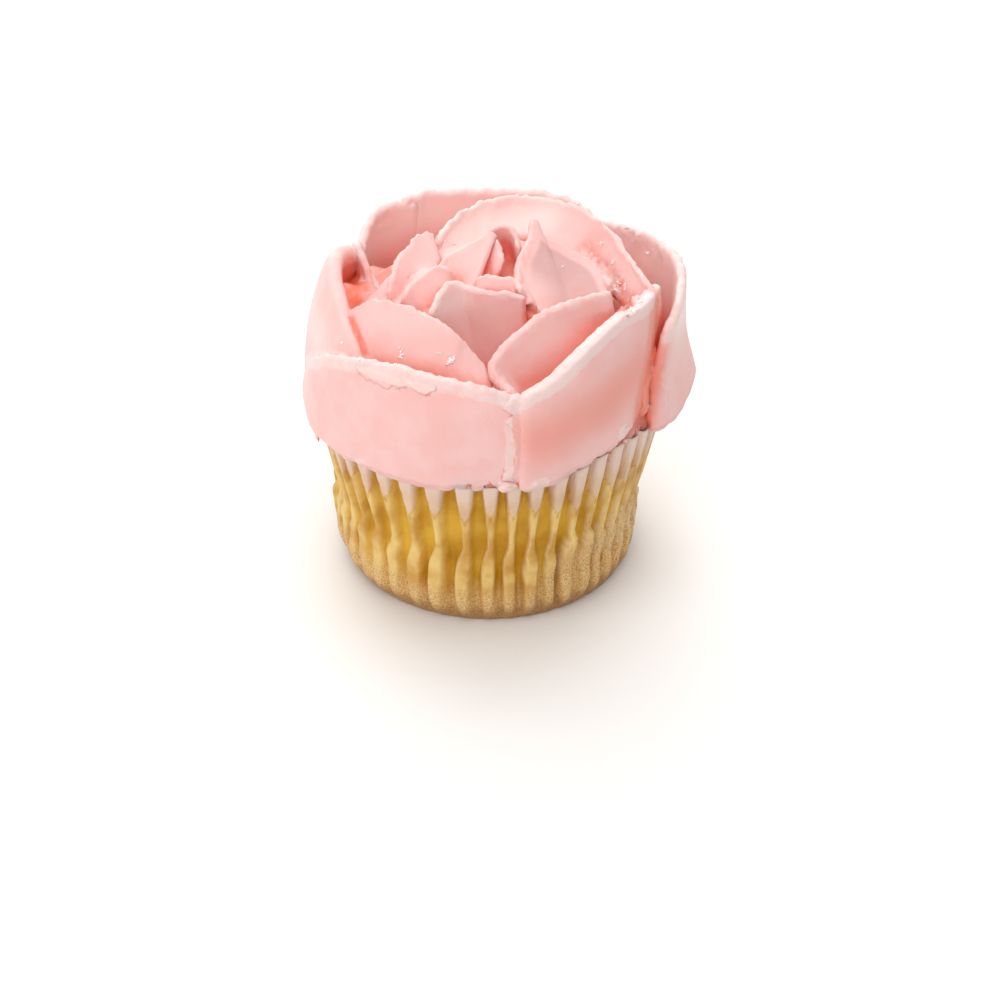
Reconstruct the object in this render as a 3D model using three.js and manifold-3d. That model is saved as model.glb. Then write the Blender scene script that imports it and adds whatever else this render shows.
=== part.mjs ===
// A cupcake: a sponge in a pleated paper case, iced with a piped buttercream rose.
// Millimetres, +Z up. The origin is the middle of the case's flat bottom, and bearings run
// counter-clockwise from +X, so that 270 degrees is the front.
import * as THREE from 'three';
import Module from 'manifold-3d';
import { mergeVertices } from 'three/addons/utils/BufferGeometryUtils.js';

const { degToRad, lerp } = THREE.MathUtils;

// Driving dimensions of the paper case
const CASE_BASE_RADIUS = 25;
const CASE_RIM_RADIUS = 29.8;
const CASE_HEIGHT = 32.5;
const PAPER = 0.5;
const PLEATS = 44;
const PLEAT_DEPTH = 2.4; // from a ridge to a valley at the rim
const PLEAT_DRIFT = 0.02; // how far the pleats wander from even spacing, in radians
const CASE_LEAN = 0.6; // how far the wall's middle stands over to -X
const RIM_LIFT = 2.2; // how much higher the rim stands where the icing leaves it free
const RIM_LIFT_BEARING = 316;
const RIM_LIFT_WIDTH = 17; // degrees

// The case's wall from bottom to rim: share of the height, share of the spread from base radius to
// rim radius, and share of the full pleat depth. The baked cake presses the pleats flat low down.
const WALL = [
  [0.01, 0, 0.05],
  [0.09, 0.2, 0.15],
  [0.2, 0.22, 0.3],
  [0.33, 0.18, 0.45],
  [0.62, 0.5, 0.7],
  [1, 1, 1],
];

// Driving dimensions of the cake and the icing
const GAP = 0.35; // between neighbouring solids
const SPONGE_BASE_RADIUS = 22.5;
const SPONGE_SHOULDER = 30; // height where the side turns into the domed top
const SPONGE_CROWN = 36;
const MOUND_BOTTOM = 31;
const LIP_ROUNDING = 0.6; // share of a petal's lip thickness left at its very edge
const PETAL_STEP = 2.1; // between a petal's cross-sections, along its lip
const PETAL_STEPS_UP = 5;
const ROUND_STEPS = 40;

// The heap of icing under the petals, as [radius, height] from its edge to its top.
const MOUND = [[28.6, MOUND_BOTTOM], [28.8, 38], [28, 42], [26, 46], [23, 49], [19, 52], [15, 54.8],
  [11, 56.2], [6, 56], [0, 56]];

// A petal's thickness at its foot and at its lip.
const OUTER = [3.6, 1.5];
const ROLLED = [3.6, 2.6];
const INNER = [3.0, 1.1];
const BUD = [1.8, 0.9];

// The petals, each piped as a ribbon. lip is its free top edge and foot the line where it is pressed
// on, both as [bearing, radius, height], and belly is how far it bulges outwards halfway up.
const PETALS = {
  front_left: {
    lip: [[182, 30.4, 39.5], [197, 31.2, 44.3], [213, 31, 49.7], [243, 30.5, 53.6], [265, 31, 52.7],
      [282, 31.3, 50.2]],
    foot: [[181, 31, 31.2], [203, 31, 31.2], [225, 30.2, 32.6], [250, 29.8, 33.2], [285, 30, 33.2]],
    belly: 0.8, thick: OUTER,
  },
  front_right: {
    lip: [[279, 31.4, 50.5], [290, 31.3, 53.7], [303, 30, 57.2], [320, 28, 58.3], [338, 28.2, 57],
      [358, 29, 55]],
    foot: [[278, 30, 33.2], [292, 30.2, 34], [312, 29.5, 36.3], [330, 28.5, 38.5], [357, 27.5, 41]],
    belly: 0.8, thick: OUTER,
  },
  right: {
    lip: [[341, 32.2, 50.5], [349, 33.3, 53.5], [10, 33.8, 54.8], [27, 33, 54], [45, 31.6, 52.5],
      [58, 30.6, 51.5]],
    foot: [[333, 31.6, 32.6], [346, 33, 33], [358, 34.8, 37], [15, 33, 33], [35, 31.2, 32.5], [60, 31, 32]],
    belly: -0.8, thick: OUTER,
  },
  back: {
    lip: [[48, 30, 52.5], [60, 31.6, 54], [75, 32, 54.5], [95, 32, 54], [110, 32.5, 54.5], [120, 32, 54]],
    foot: [[45, 31, 32], [82, 31.2, 32], [120, 31, 32]],
    belly: 1, thick: OUTER,
  },
  back_left: {
    lip: [[114, 31.5, 53], [122, 32.5, 54], [130, 32, 53.5], [138, 30, 51.8], [146, 28, 50]],
    foot: [[112, 31, 32], [130, 31, 31.8], [152, 29, 33]],
    belly: 1, thick: OUTER,
  },
  left: {
    lip: [[144, 28, 50], [152, 28.6, 52.5], [163, 28.2, 54], [178, 26.6, 54], [190, 25.4, 53],
      [207, 23.5, 47.5]],
    foot: [[140, 30.6, 31.8], [163, 30.6, 31.4], [190, 30, 34], [212, 29, 42]],
    belly: 1.8, thick: ROLLED,
  },
  middle_left: {
    lip: [[193, 25.3, 51], [199, 23.9, 54], [205, 22, 56], [218, 20.2, 57.5], [234, 19.5, 58],
      [251, 20.7, 57], [262, 22, 54], [271, 24, 50.5]],
    foot: [[208, 26, 44], [225, 27.3, 43], [255, 27.5, 43], [276, 28, 42]],
    belly: 1.5, thick: INNER,
  },
  middle_right: {
    lip: [[280, 29.9, 49.5], [276, 27.5, 50.4], [272, 25, 52.2], [275, 23, 54.2], [283, 21.2, 56.3],
      [298, 19.3, 58], [314, 20, 58.8], [334, 23.4, 58.5]],
    foot: [[281, 28, 46], [284, 26, 46], [292, 25, 46], [308, 25, 48], [330, 26, 50]],
    belly: 0, thick: INNER,
  },
  middle_back: {
    lip: [[135, 13, 57], [121, 14.6, 58], [95, 18.3, 59.3], [70, 21.6, 59.5], [43, 23.3, 59],
      [23, 23.6, 58.3], [2, 25.6, 57], [-13, 29.9, 55.5]],
    foot: [[134, 11, 54], [106, 11.8, 54], [82, 13.8, 54], [55, 16.5, 54], [24, 17.6, 53], [-4, 22.5, 52],
      [-9, 25.8, 50]],
    belly: 1, thick: INNER,
  },
  inner_left: {
    lip: [[193, 17.9, 53], [188, 17.1, 55], [178, 16.4, 56.3], [167, 15.8, 57.2], [155, 15.1, 58],
      [144, 14.7, 58.4], [136, 13.5, 58.5]],
    foot: [[190, 16, 50], [183, 13.8, 52], [172, 11.5, 53.5], [163, 9.8, 54.5], [150, 9.3, 55.5]],
    belly: 0, thick: INNER,
  },
  inner_near_left: {
    lip: [[212, 17.9, 55.5], [213, 17.2, 57], [209, 15, 58], [206, 13.1, 58.8], [203, 10.8, 59.5],
      [208, 9.2, 60], [220, 8.2, 60]],
    foot: [[216, 17, 52], [224, 14.5, 53], [224, 12, 54.5], [220, 9, 56], [222, 7.5, 57]],
    belly: 0, thick: INNER,
  },
  inner_front: {
    lip: [[237, 18.3, 57], [237, 16.3, 58.5], [236, 13.5, 59.8], [235, 10.7, 60.5], [250, 11, 59.8],
      [268, 11.7, 59.4], [289, 12.7, 59.3], [297, 14, 59]],
    foot: [[243, 19, 54], [252, 20, 52], [262, 21, 50], [272, 21.5, 49], [284, 19.5, 50.5],
      [300, 16.5, 53]],
    belly: 0.5, thick: INNER,
  },
  inner_right: {
    lip: [[298, 11.6, 59], [310, 7.6, 59.5], [332, 6, 60.5], [367, 6.7, 61.5], [399, 10.2, 63.2],
      [385, 10, 61.5], [370, 14, 59.5], [358, 19.3, 57.5], [346, 21.8, 57]],
    foot: [[302, 11.8, 57], [306, 13.5, 55.5], [310, 16, 54.5], [325, 17.5, 54.5], [339, 20.6, 55],
      [346, 22.2, 54.5]],
    belly: 0, thick: INNER,
  },
  bud_left: {
    lip: [[190, 9.2, 58.5], [179, 7.4, 59.3], [165, 5.1, 60], [130, 3.9, 60.8], [95, 4.5, 61.4],
      [71, 4.5, 61.5]],
    foot: [[205, 9.5, 54], [225, 9, 54], [240, 8, 55], [252, 6, 57.5]],
    belly: 0.3, thick: BUD,
  },
  bud_back: {
    lip: [[95, 4.9, 61.4], [75, 6.3, 62], [60, 7.1, 62], [42, 6.5, 61], [21, 5.7, 60]],
    foot: [[100, 5, 56], [60, 7.5, 56], [20, 6, 56]],
    belly: 0, thick: BUD,
  },
  bud_core: {
    lip: [[71, 4.2, 61], [45, 2.8, 60], [348, 2.6, 59.3]],
    foot: [[140, 2, 56], [200, 2, 56], [300, 3, 56]],
    belly: 0, thick: BUD,
  },
  bud_front: {
    lip: [[252, 6.6, 58.8], [269, 6.1, 59.5], [285, 7.7, 59.5], [300, 8.7, 59.5], [302, 10.5, 59]],
    foot: [[255, 8, 56], [285, 8.5, 56], [302, 10, 56]],
    belly: 0.5, thick: BUD,
  },
};

const wasm = await Module();
wasm.setup();

// A closed geometry as a solid that can be joined and cut.
function solidOf(geometry) {
  const bare = geometry.clone();
  bare.deleteAttribute('normal');
  bare.deleteAttribute('uv');
  const merged = mergeVertices(bare, 1e-4);
  return new wasm.Manifold(new wasm.Mesh({
    numProp: 3,
    vertProperties: merged.attributes.position.array,
    triVerts: new Uint32Array(merged.index.array),
  }));
}

function geometryOf(solid) {
  const mesh = solid.getMesh();
  const positions = new Float32Array(mesh.numVert * 3);
  for (let i = 0; i < mesh.numVert; i++) {
    const start = i * mesh.numProp;
    positions.set(mesh.vertProperties.subarray(start, start + 3), i * 3);
  }
  return new THREE.BufferGeometry()
    .setAttribute('position', new THREE.BufferAttribute(positions, 3))
    .setIndex(new THREE.BufferAttribute(mesh.triVerts, 1));
}

// The faces of a tube made of rings of points, each joined to the next.
function tubeFaces(ringCount, count) {
  const faces = [];
  for (let ring = 0; ring + 1 < ringCount; ring++) {
    for (let i = 0; i < count; i++) {
      const [a, b] = [ring * count + i, ring * count + (i + 1) % count];
      faces.push(a, b, b + count, a, b + count, a + count);
    }
  }
  return faces;
}

function closedGeometry(points, faces) {
  const positions = points.flatMap((p) => [p.x, p.y, p.z]);
  return new THREE.BufferGeometry()
    .setAttribute('position', new THREE.Float32BufferAttribute(positions, 3))
    .setIndex(faces);
}

// A round body: level rings from the bottom to the top, each end closed by a fan to its middle.
function stackOf(rings) {
  const count = rings[0].length;
  const points = rings.flat();
  const faces = tubeFaces(rings.length, count);
  const ends = [[rings[0], 0, false], [rings.at(-1), points.length - count, true]];
  for (const [ring, start, atTop] of ends) {
    const middle = ring.reduce((sum, p) => sum.add(p), new THREE.Vector3()).divideScalar(count);
    points.push(middle);
    for (let i = 0; i < count; i++) {
      const [a, b] = [start + i, start + (i + 1) % count];
      faces.push(points.length - 1, atTop ? a : b, atTop ? b : a);
    }
  }
  return closedGeometry(points, faces);
}

// A ribbon: each ring runs down one face and up the other, and each end is closed by a strip across.
function ribbonOf(rings) {
  const count = rings[0].length;
  const faces = tubeFaces(rings.length, count);
  const last = (rings.length - 1) * count;
  for (let i = 0; i < count / 2 - 1; i++) {
    const [a, b, c, d] = [i, i + 1, count - 2 - i, count - 1 - i];
    faces.push(a, c, b, a, d, c);
    faces.push(last + a, last + b, last + c, last + a, last + c, last + d);
  }
  return closedGeometry(rings.flat(), faces);
}

function polar(bearing, radius, height) {
  const angle = degToRad(bearing);
  return new THREE.Vector3(radius * Math.cos(angle), radius * Math.sin(angle), height);
}

const curveOf = (points) => new THREE.CatmullRomCurve3(points.map((p) => polar(...p)), false, 'centripetal');

// The middle surface of a petal: u runs along it, v from foot to lip.
function petalSurface({ lip, foot, belly }) {
  const lipCurve = curveOf(lip);
  const footCurve = curveOf(foot);
  return (u, v) => {
    const low = footCurve.getPointAt(u);
    const high = lipCurve.getPointAt(u);
    const control = low.clone().lerp(high, 0.5);
    const outwards = new THREE.Vector3(control.x, control.y, 0).normalize();
    control.addScaledVector(outwards, 2 * belly);
    return new THREE.QuadraticBezierCurve3(low, control, high).getPoint(v);
  };
}

function normalAt(surface, u, v) {
  const step = 0.01;
  const along = surface(Math.min(u + step, 1), v).sub(surface(Math.max(u - step, 0), v));
  const up = surface(u, Math.min(v + step, 1)).sub(surface(u, Math.max(v - step, 0)));
  return along.cross(up).normalize();
}

function petal(shape) {
  const surface = petalSurface(shape);
  const [footThick, lipThick] = shape.thick;
  const stepsAlong = Math.ceil(curveOf(shape.lip).getLength() / PETAL_STEP);
  const rings = [];
  for (let i = 0; i <= stepsAlong; i++) {
    const u = i / stepsAlong;
    const outside = [];
    const inside = [];
    for (let j = 0; j <= PETAL_STEPS_UP; j++) {
      const v = j / PETAL_STEPS_UP;
      const rounding = j === PETAL_STEPS_UP ? LIP_ROUNDING : 1;
      const half = lerp(footThick, lipThick, v) / 2 * rounding;
      const middle = surface(u, v);
      const normal = normalAt(surface, u, v);
      outside.unshift(middle.clone().addScaledVector(normal, half));
      inside.push(middle.clone().addScaledVector(normal, -half));
    }
    rings.push([...outside, ...inside]);
  }
  return solidOf(ribbonOf(rings));
}

function rimLift(bearing) {
  return RIM_LIFT * Math.exp(-(((bearing - RIM_LIFT_BEARING) / RIM_LIFT_WIDTH) ** 2));
}

const leanAt = (share) => CASE_LEAN * Math.sin(Math.PI * Math.min(share * 2, 1));

const wallRadius = (spread) => lerp(CASE_BASE_RADIUS, CASE_RIM_RADIUS, spread);

// One ring of the pleated wall: ridges and valleys by turns, set slightly unevenly.
function wallRing([share, spread, depth], inset) {
  return Array.from({ length: PLEATS * 2 }, (_, i) => {
    const even = (i / PLEATS) * Math.PI;
    const bearing = (even + PLEAT_DRIFT * (Math.sin(5 * even + 1) + Math.sin(11 * even + 2))) * 180 / Math.PI;
    const side = i % 2 ? -1 : 1;
    const radius = wallRadius(spread) + side * depth * PLEAT_DEPTH / 2 - inset;
    const point = polar(bearing, radius, share * (CASE_HEIGHT + share ** 3 * rimLift(bearing)));
    return point.setX(point.x - leanAt(share));
  });
}

function flatRing(inset, height) {
  return wallRing([0, 0, 0], inset).map((point) => point.setZ(height));
}

function paperCase() {
  const outside = WALL.map((level) => wallRing(level, 0));
  const inside = WALL.slice(1).reverse().map((level) => wallRing(level, PAPER));
  return stackOf([flatRing(1, 0), ...outside, ...inside, flatRing(1.2, PAPER)]);
}

function turned(profile) {
  const points = profile.map(([radius, height]) => new THREE.Vector2(radius, height));
  return solidOf(new THREE.LatheGeometry(points, ROUND_STEPS).rotateX(Math.PI / 2));
}

// The sponge's domed top at a share of its rise, from shoulder to crown, as [radius, height].
function domePoint(share, radius) {
  const angle = share * Math.PI / 2;
  return [radius * Math.cos(angle), lerp(SPONGE_SHOULDER, SPONGE_CROWN, Math.sin(angle))];
}

// The sponge fills the case up to the valleys between its pleats.
function sponge() {
  const floor = PAPER + GAP;
  const clearance = PAPER + GAP + CASE_LEAN;
  const side = WALL.slice(1, -1).map(([share, spread, depth]) => (
    [wallRadius(spread) - depth * PLEAT_DEPTH / 2 - clearance, share * CASE_HEIGHT]));
  const shoulderRadius = wallRadius(0.9) - PLEAT_DEPTH / 2 - clearance;
  const dome = [0, 0.2, 0.4, 0.6, 0.8].map((share) => domePoint(share, shoulderRadius));
  return turned([[0, floor], [SPONGE_BASE_RADIUS, floor], ...side, ...dome, [0, SPONGE_CROWN]]);
}

// What the icing stands clear of: the case's rim all round, and the sponge's dome within it.
function underIcing() {
  const bearings = Array.from({ length: ROUND_STEPS }, (_, i) => (i / ROUND_STEPS) * 360);
  const ring = (radius, height) => bearings.map((bearing) => polar(bearing, radius, height(bearing)));
  const overRim = (bearing) => CASE_HEIGHT + rimLift(bearing) + GAP;
  const rimInside = CASE_RIM_RADIUS - PLEAT_DEPTH;
  return solidOf(stackOf([
    ring(CASE_RIM_RADIUS + PLEAT_DEPTH / 2 + GAP, () => 0),
    ring(CASE_RIM_RADIUS + PLEAT_DEPTH / 2 + GAP, overRim),
    ring(rimInside, overRim),
    ring(rimInside * 0.9, () => CASE_HEIGHT + 1),
    ring(rimInside * 0.45, () => SPONGE_CROWN + GAP),
  ]));
}

function icingRose() {
  let whole = turned([[0, MOUND_BOTTOM], ...MOUND]);
  for (const shape of Object.values(PETALS)) whole = whole.add(petal(shape));
  return geometryOf(whole.subtract(underIcing()));
}

const PAPER_FINISH = new THREE.MeshStandardMaterial({ color: 0xcf9f4a, roughness: 0.5, metalness: 0 });
const SPONGE_FINISH = new THREE.MeshStandardMaterial({ color: 0xe6bd57, roughness: 0.9, metalness: 0 });
const ICING_FINISH = new THREE.MeshStandardMaterial({ color: 0xf6c3bd, roughness: 0.5, metalness: 0 });

function named(name, geometry, material) {
  const mesh = new THREE.Mesh(geometry, material);
  mesh.name = name;
  return mesh;
}

const cupcake = new THREE.Group();
cupcake.add(named('paper_case', paperCase(), PAPER_FINISH));
cupcake.add(named('sponge', geometryOf(sponge()), SPONGE_FINISH));
cupcake.add(named('icing_rose', icingRose(), ICING_FINISH));

export default cupcake;
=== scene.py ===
"""A cupcake in its paper baking case, iced with a piped pink buttercream rose.

Lengths in the tables are millimetres in the frame's axes: +Z up and -Y to the viewer. Bearings are degrees
counter-clockwise from +X, so that 270 is the front. Meshes are made in metres.
"""
import math
import random

import bmesh
import bpy
import numpy as np
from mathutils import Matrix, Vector, kdtree, noise
from mathutils.bvhtree import BVHTree


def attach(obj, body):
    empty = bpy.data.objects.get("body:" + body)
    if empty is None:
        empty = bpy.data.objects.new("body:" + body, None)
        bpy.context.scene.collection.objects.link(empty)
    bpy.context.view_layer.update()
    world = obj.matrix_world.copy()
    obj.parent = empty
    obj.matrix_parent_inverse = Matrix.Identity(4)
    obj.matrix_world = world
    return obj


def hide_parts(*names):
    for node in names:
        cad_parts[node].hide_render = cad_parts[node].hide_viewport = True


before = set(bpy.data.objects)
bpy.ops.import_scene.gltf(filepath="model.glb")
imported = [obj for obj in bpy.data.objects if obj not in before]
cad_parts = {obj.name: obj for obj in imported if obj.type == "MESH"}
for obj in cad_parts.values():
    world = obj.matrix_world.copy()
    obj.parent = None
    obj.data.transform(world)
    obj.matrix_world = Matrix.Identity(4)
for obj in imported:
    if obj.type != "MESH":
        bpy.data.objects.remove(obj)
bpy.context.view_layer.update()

MM = 0.001
FRONT = 270
# A radius so close to the axis that a turned body is shut there
AXIS = 0.01

# The photograph's camera: it stands in front, tilted down, and sees a 1000 pixel square
CAMERA_PLACE = Vector((1.9928, -613.990, 430.777)) * MM
CAMERA_TILT = math.radians(34.5)
FOCAL_PIXELS = 4140
FRAME_PIXELS = 1000
SENSOR_MM = 36

# A petal's thickness at its foot and its lip, how far its rounded edge stands up as a share of a half
# round, how torn that edge is, how pale it has dried, and how uneven the foot is
OUTER = dict(foot_thick=3.6, lip_thick=1.7, crown=1.0, torn=0.25, pale=0.75, hem=0.45)
CUT_FLAT = dict(foot_thick=3.6, lip_thick=2.5, crown=0.3, torn=0.1, pale=1.0, hem=0.45)
ROLLED = dict(foot_thick=3.6, lip_thick=3.0, crown=1.0, torn=0.05, pale=0.3, hem=0.45)
INNER = dict(foot_thick=3.0, lip_thick=1.3, crown=1.0, torn=0.2, pale=0.35, hem=0)
BUD = dict(foot_thick=1.8, lip_thick=1.0, crown=1.0, torn=0.1, pale=0.4, hem=0)

# The petals, each piped as a ribbon. lip is the free top edge and foot the line where it is pressed on,
# both as (bearing, radius, height). belly is how far it bulges outwards halfway up, and dried the width of
# the paler band along the lip.
PETALS = {
    "front_left": dict(
        lip=[(182, 30.4, 39.5), (197, 31.2, 44.3), (213, 31, 49.7), (243, 30.5, 53.6), (265, 31, 52.7),
             (282, 31.3, 50.2)],
        foot=[(181, 31, 31.2), (203, 31, 31.2), (225, 30.4, 32), (250, 30.1, 32.3), (285, 30.2, 32.2)],
        belly=0.8, dried=2.0, **OUTER),
    "front_right": dict(
        lip=[(279, 31.4, 50.5), (290, 31.3, 53.7), (303, 30, 57.2), (320, 28, 58.3), (338, 28.2, 57),
             (358, 29, 55)],
        foot=[(278, 30.2, 32.2), (292, 30.2, 33.1), (312, 29.5, 35.6), (330, 28.5, 37.9), (357, 27.5, 41)],
        belly=0.8, dried=2.5, **CUT_FLAT),
    "right": dict(
        lip=[(341, 32.2, 50.5), (349, 33.3, 53.5), (10, 33.8, 54.8), (27, 33, 54), (45, 31.6, 52.5),
             (58, 30.6, 51.5)],
        foot=[(333, 31.6, 32.6), (346, 33, 33), (358, 34.8, 37), (15, 33, 33), (35, 31.2, 32.5),
              (60, 31, 32)],
        belly=-0.8, dried=2.2, **OUTER),
    "back": dict(
        lip=[(48, 30, 52.5), (60, 31.6, 54), (75, 32, 54.5), (95, 32, 54), (110, 32.5, 54.5),
             (120, 32, 54)],
        foot=[(45, 31, 32), (82, 31.2, 32), (120, 31, 32)],
        belly=1, dried=1.6, **OUTER),
    "back_left": dict(
        lip=[(114, 31.5, 53), (122, 32.5, 54), (130, 32, 53.5), (138, 30, 51.8), (146, 28, 50)],
        foot=[(112, 31, 32), (130, 31, 31.8), (152, 29, 33)],
        belly=1, dried=1.6, **OUTER),
    "left": dict(
        lip=[(144, 28, 50), (152, 28.6, 52.5), (163, 28.2, 54), (178, 26.8, 54), (190, 26.2, 53.2),
             (204, 26.9, 52.2), (220, 28, 49)],
        foot=[(140, 30.6, 31.8), (163, 30.6, 31.4), (190, 30, 34), (222, 29, 42)],
        belly=1.8, dried=1.6, **ROLLED),
    "middle_left": dict(
        lip=[(193, 25.3, 51), (199, 23.9, 54), (205, 22, 56), (218, 20.2, 57.5), (234, 19.5, 58),
             (251, 20.7, 57), (262, 22, 54), (271, 24, 50.5)],
        foot=[(208, 26, 44), (225, 27.3, 43), (255, 27.5, 43), (276, 28, 42)],
        belly=1.5, dried=1.3, **INNER),
    "middle_right": dict(
        lip=[(280, 29.9, 49.5), (276, 27.5, 50.4), (272, 25, 52.2), (275, 23, 54.2), (283, 21.2, 56.3),
             (298, 19.3, 58), (314, 20, 58.8), (334, 23.4, 58.5)],
        foot=[(281, 28, 46), (284, 26, 46), (292, 25, 46), (308, 25, 48), (330, 26, 50)],
        belly=0, dried=1.6, **{**INNER, "lip_thick": 2.0, "pale": 0.5}),
    "middle_back": dict(
        lip=[(135, 13, 57), (121, 14.6, 58), (95, 18.3, 59.3), (70, 21.6, 59.5), (43, 23.3, 59),
             (23, 23.6, 58.3), (2, 25.6, 57), (-13, 29.9, 55.5)],
        foot=[(134, 11, 54), (106, 11.8, 54), (82, 13.8, 54), (55, 16.5, 54), (24, 17.6, 53),
              (-4, 22.5, 52), (-9, 25.8, 50)],
        belly=1, dried=1.6, **INNER),
    "inner_left": dict(
        lip=[(193, 17.9, 53), (188, 17.1, 55), (178, 16.4, 56.3), (167, 15.8, 57.2), (155, 15.1, 58),
             (144, 14.7, 58.4), (136, 13.5, 58.5)],
        foot=[(190, 16, 50), (183, 13.8, 52), (172, 11.5, 53.5), (163, 9.8, 54.5), (150, 9.3, 55.5)],
        belly=0, dried=1.2, **INNER),
    "inner_near_left": dict(
        lip=[(212, 17.9, 55.5), (213, 17.2, 57), (209, 15, 58), (206, 13.1, 58.8), (203, 10.8, 59.5),
             (208, 9.2, 60), (220, 8.2, 60)],
        foot=[(216, 17, 52), (224, 14.5, 53), (224, 12, 54.5), (220, 9, 56), (222, 7.5, 57)],
        belly=0, dried=1.2, **INNER),
    "inner_front": dict(
        lip=[(237, 18.3, 57), (236.5, 16.3, 58.5), (236, 13.6, 59.8), (241, 11.3, 60.4), (252, 11.1, 59.9),
             (268, 11.7, 59.4), (289, 12.7, 59.3), (297, 14, 59)],
        foot=[(243, 16, 50), (252, 15.5, 46.5), (262, 15.5, 44.5), (272, 15.5, 44),
              (284, 15.5, 45), (300, 15, 50)],
        belly=-0.6, dried=1.2, **INNER),
    "inner_right": dict(
        lip=[(298, 11.6, 59), (310, 7.6, 59.5), (332, 6, 60.5), (367, 6.7, 61.5), (399, 10.2, 63.2),
             (385, 10, 61.5), (370, 14, 59.5), (358, 19.3, 57.5), (346, 21.8, 57)],
        foot=[(302, 11.8, 57), (306, 13.5, 55.5), (310, 16, 54.5), (325, 17.5, 54.5), (339, 20.6, 55),
              (346, 22.2, 54.5)],
        belly=0, dried=1.2, **INNER),
    "bud_left": dict(
        lip=[(190, 9.2, 58.5), (179, 7.4, 59.3), (165, 5.1, 60), (130, 3.9, 60.8), (95, 4.5, 61.4),
             (71, 4.5, 61.5)],
        foot=[(205, 9.5, 54), (225, 9, 54), (240, 8, 55), (252, 6, 57.5)],
        belly=0.3, dried=0.8, **BUD),
    "bud_back": dict(
        lip=[(95, 4.9, 61.4), (75, 6.3, 62), (60, 7.1, 62), (42, 6.5, 61), (21, 5.7, 60)],
        foot=[(100, 5, 56), (60, 7.5, 56), (20, 6, 56)],
        belly=0, dried=0.8, **BUD),
    "bud_core": dict(
        lip=[(71, 4.2, 61), (45, 2.8, 60), (348, 2.6, 59.3)],
        foot=[(140, 2, 56), (200, 2, 56), (300, 3, 56)],
        belly=0, dried=0.6, **BUD),
    "bud_front": dict(
        lip=[(252, 6.6, 58.8), (269, 6.1, 59.5), (285, 7.7, 59.5), (300, 8.7, 59.5), (302, 10.5, 59)],
        foot=[(255, 8, 56), (285, 8.5, 56), (302, 10, 56)],
        belly=0.5, dried=0.8, **BUD),
    "back_fold": dict(
        lip=[(146, 28.6, 53.3), (148, 27, 52), (150, 25, 49.8), (151, 24.2, 47), (153, 23.8, 45)],
        foot=[(139, 31, 51), (141, 30, 48.5), (144, 28, 46), (148, 26, 44.5), (152, 25, 43.5)],
        belly=0, dried=2, **{**INNER, "pale": 0.9}),
}

# The heap of icing under the petals, as (radius, height) from its edge to its top
MOUND = [(28.6, 31), (28.8, 38), (28, 42), (26, 46), (23, 49), (19, 52), (15, 54.8), (11, 56.2), (6, 56),
         (AXIS, 56)]
MOUND_BOTTOM = 31


def linear(hex_colour):
    """The linear RGBA of an sRGB hex colour."""
    channels = [int(hex_colour[i:i + 2], 16) / 255 for i in (1, 3, 5)]
    return (*[c / 12.92 if c <= 0.04045 else ((c + 0.055) / 1.055) ** 2.4 for c in channels], 1.0)


def smoothstep(low, high, value):
    t = np.clip((value - low) / (high - low), 0, 1)
    return t * t * (3 - 2 * t)


def polar(points):
    """(bearing, radius, height) rows as X, Y, Z rows."""
    rows = np.array(points, float)
    angle = np.radians(rows[:, 0])
    return np.stack([rows[:, 1] * np.cos(angle), rows[:, 1] * np.sin(angle), rows[:, 2]], 1)


def smooth_curve(points, per_span=60):
    """A centripetal Catmull-Rom curve through points, as closely spaced rows."""
    p = polar(points)
    p = np.vstack([2 * p[0] - p[1], p, 2 * p[-1] - p[-2]])
    t = np.linspace(0, 1, per_span, endpoint=False)[:, None]
    spans = []
    for a, b, c, d in zip(p, p[1:], p[2:], p[3:]):
        ab, bc, cd = (max(np.linalg.norm(y - x) ** 0.5, 1e-4) for x, y in ((a, b), (b, c), (c, d)))
        leave = bc * ((b - a) / ab - (c - a) / (ab + bc) + (c - b) / bc)
        arrive = bc * ((c - b) / bc - (d - b) / (bc + cd) + (d - c) / cd)
        spans.append(b + leave * t + (3 * (c - b) - 2 * leave - arrive) * t ** 2
                     + (2 * (b - c) + leave + arrive) * t ** 3)
    return np.vstack([*spans, p[-2:-1]])


def spaced(curve, shares):
    """The points of a curve at shares of its length, and the length."""
    steps = np.linalg.norm(np.diff(curve, axis=0), axis=1)
    along = np.concatenate([[0], np.cumsum(steps)])
    places = np.array(shares) * along[-1]
    return np.stack([np.interp(places, along, curve[:, k]) for k in range(3)], 1), along[-1]


def unit(rows):
    return rows / np.maximum(np.linalg.norm(rows, axis=-1, keepdims=True), 1e-9)


def wander(values, seed, size):
    """Smooth noise from -1 to 1 along a list of values; size is the length of its waves."""
    return np.array([noise.noise(Vector((v / size, seed * 7.31, 0.37))) for v in values]) * 1.6


def mesh_object(name, points, faces, smooth=True):
    """An object from points in millimetres."""
    mesh = bpy.data.meshes.new(name)
    mesh.from_pydata((np.asarray(points) * MM).tolist(), [], faces)
    mesh.validate()
    if smooth:
        mesh.shade_smooth()
    obj = bpy.data.objects.new(name, mesh)
    bpy.context.scene.collection.objects.link(obj)
    return obj


def tube_faces(rings, count):
    """Quads between rings of count points each."""
    faces = []
    for ring in range(0, (rings - 1) * count, count):
        for i in range(count):
            after = (i + 1) % count
            faces.append((ring + i, ring + after, ring + count + after, ring + count + i))
    return faces


def shut_tube_faces(rings, count):
    """The same with a face over each end."""
    last = (rings - 1) * count
    return tube_faces(rings, count) + [tuple(range(count))[::-1], tuple(range(last, last + count))]


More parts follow.
